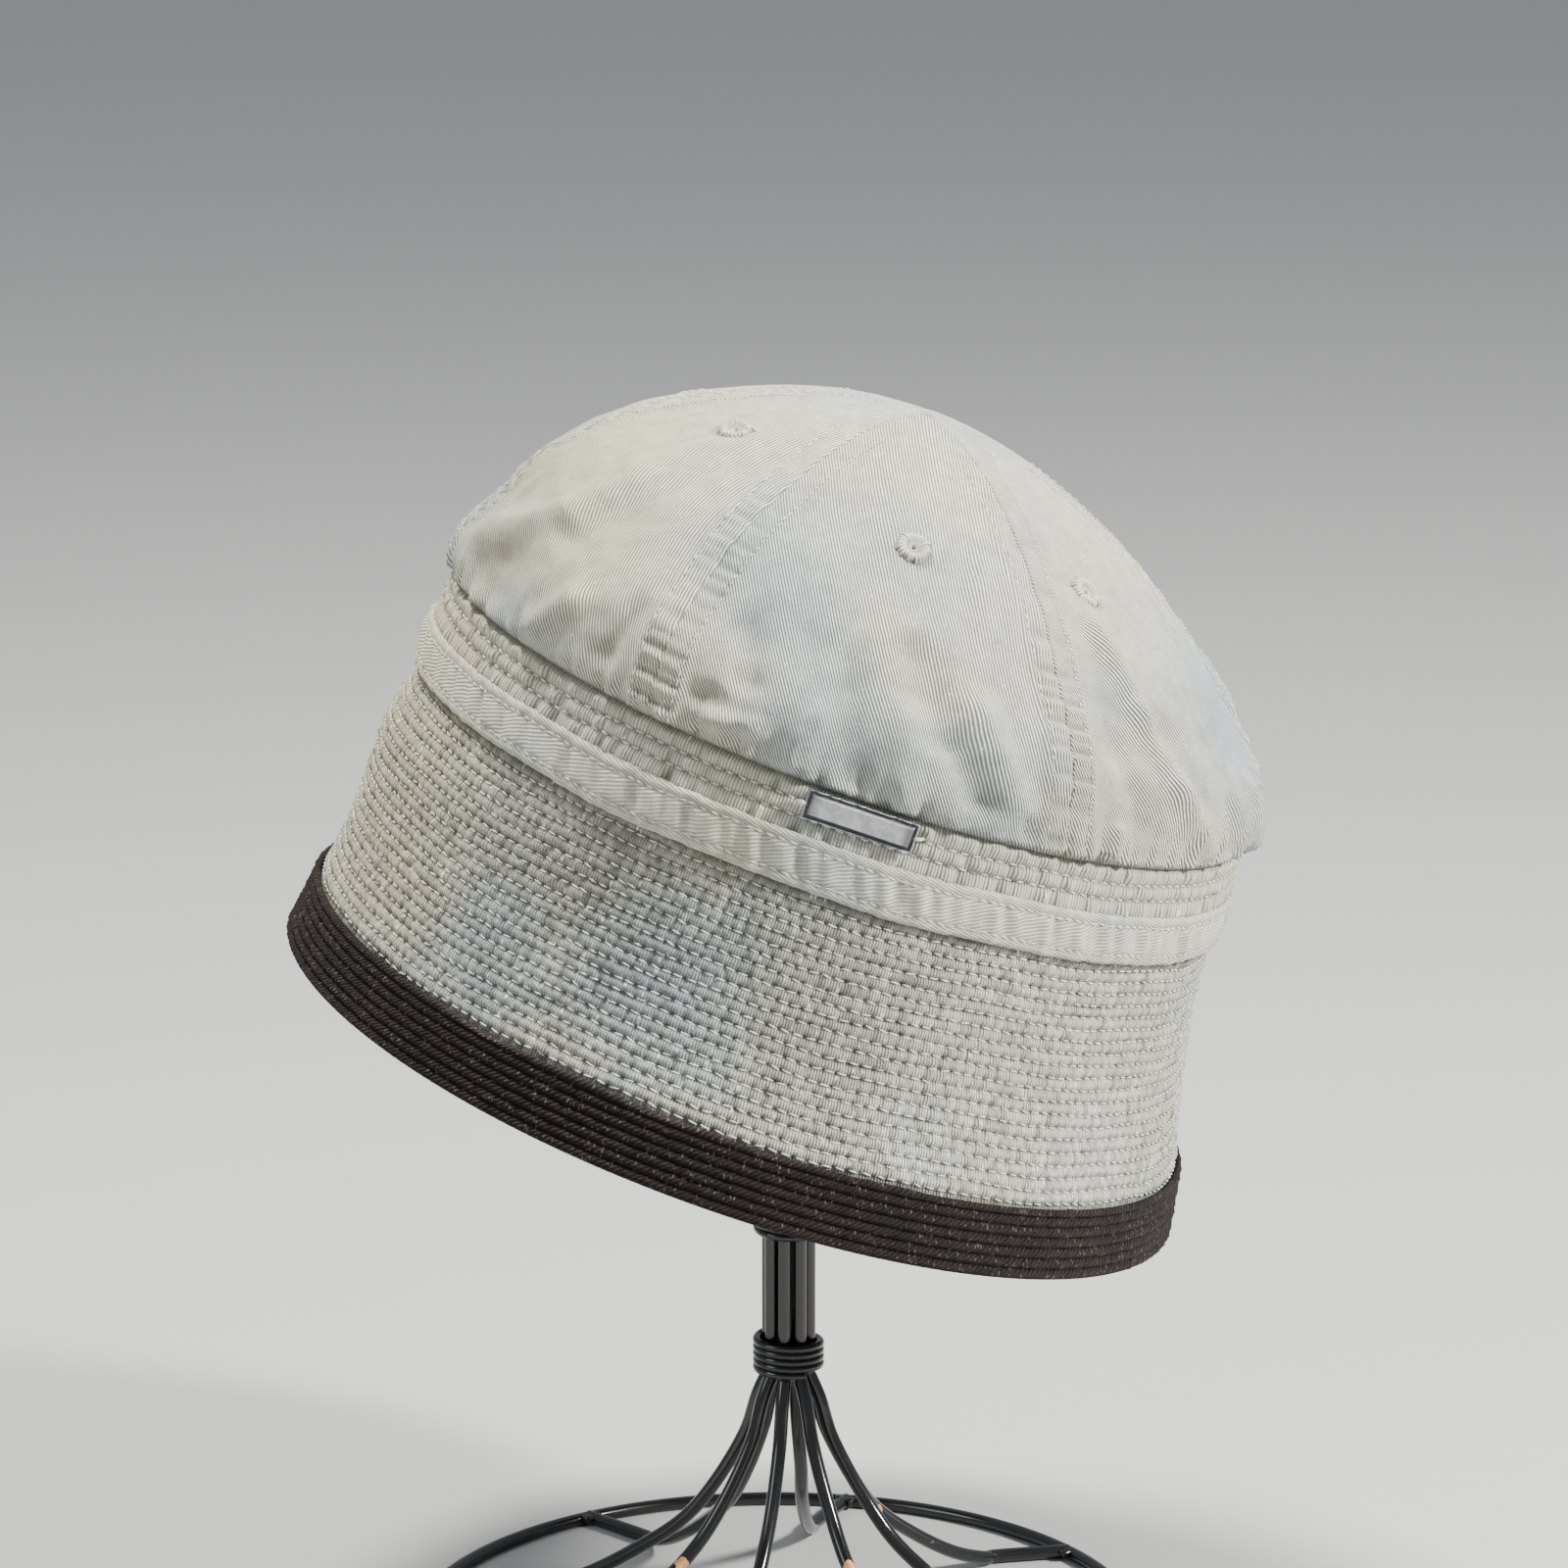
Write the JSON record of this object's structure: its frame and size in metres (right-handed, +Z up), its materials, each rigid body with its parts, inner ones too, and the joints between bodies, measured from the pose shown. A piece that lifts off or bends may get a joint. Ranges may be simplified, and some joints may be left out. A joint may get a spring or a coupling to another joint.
{
  "type": "sailor hat on a wire hat stand",
  "caption": "Soft cloth sailor hat with a panelled crown, stitched brim and dark hem, resting tilted on a black wire hat stand with a round foot.",
  "frame": {"origin": "on the floor under the middle of the bounding box of the hat and its stand", "axes": "+Z up along the stand's neck, -Y toward the hat's front with the plate, +X the side that the hat tilts down to"},
  "size_m": [0.2246, 0.2202, 0.2978],
  "materials": {
    "crown_cloth": "washed cotton twill, faded and patchy",
    "brim_cloth": "row-stitched ribbed cotton, faded",
    "tape_cloth": "folded twill strip, topstitched",
    "hem_cloth": "dark brown twill binding, row-stitched",
    "thread": "matt cotton thread",
    "pewter": "worn pewter",
    "black_enamel": "glossy black enamel, chipped"
  },
  "bodies": {
    "root": {"hem_binding": "hem_cloth", "brim": "brim_cloth", "tape": "tape_cloth", "band": "brim_cloth", "crown_panel_1": "crown_cloth", "crown_panel_2": "crown_cloth", "crown_panel_3": "crown_cloth", "crown_panel_4": "crown_cloth", "crown_panel_5": "crown_cloth", "crown_panel_6": "crown_cloth", "eyelet_1": "thread", "eyelet_2": "thread", "eyelet_3": "thread", "eyelet_4": "thread", "eyelet_5": "thread", "eyelet_6": "thread", "name_plate": "pewter", "plate_stitch_left": "thread", "plate_stitch_right": "thread", "base_ring": "black_enamel", "stand_wire_1": "black_enamel", "stand_wire_2": "black_enamel", "stand_wire_3": "black_enamel", "stand_wire_4": "black_enamel", "stand_wire_5": "black_enamel", "stand_wire_6": "black_enamel", "stand_wire_7": "black_enamel", "stand_wire_8": "black_enamel", "collar_lower": "black_enamel", "collar_upper": "black_enamel", "head_cap": "black_enamel"}
  },
  "joints": []
}
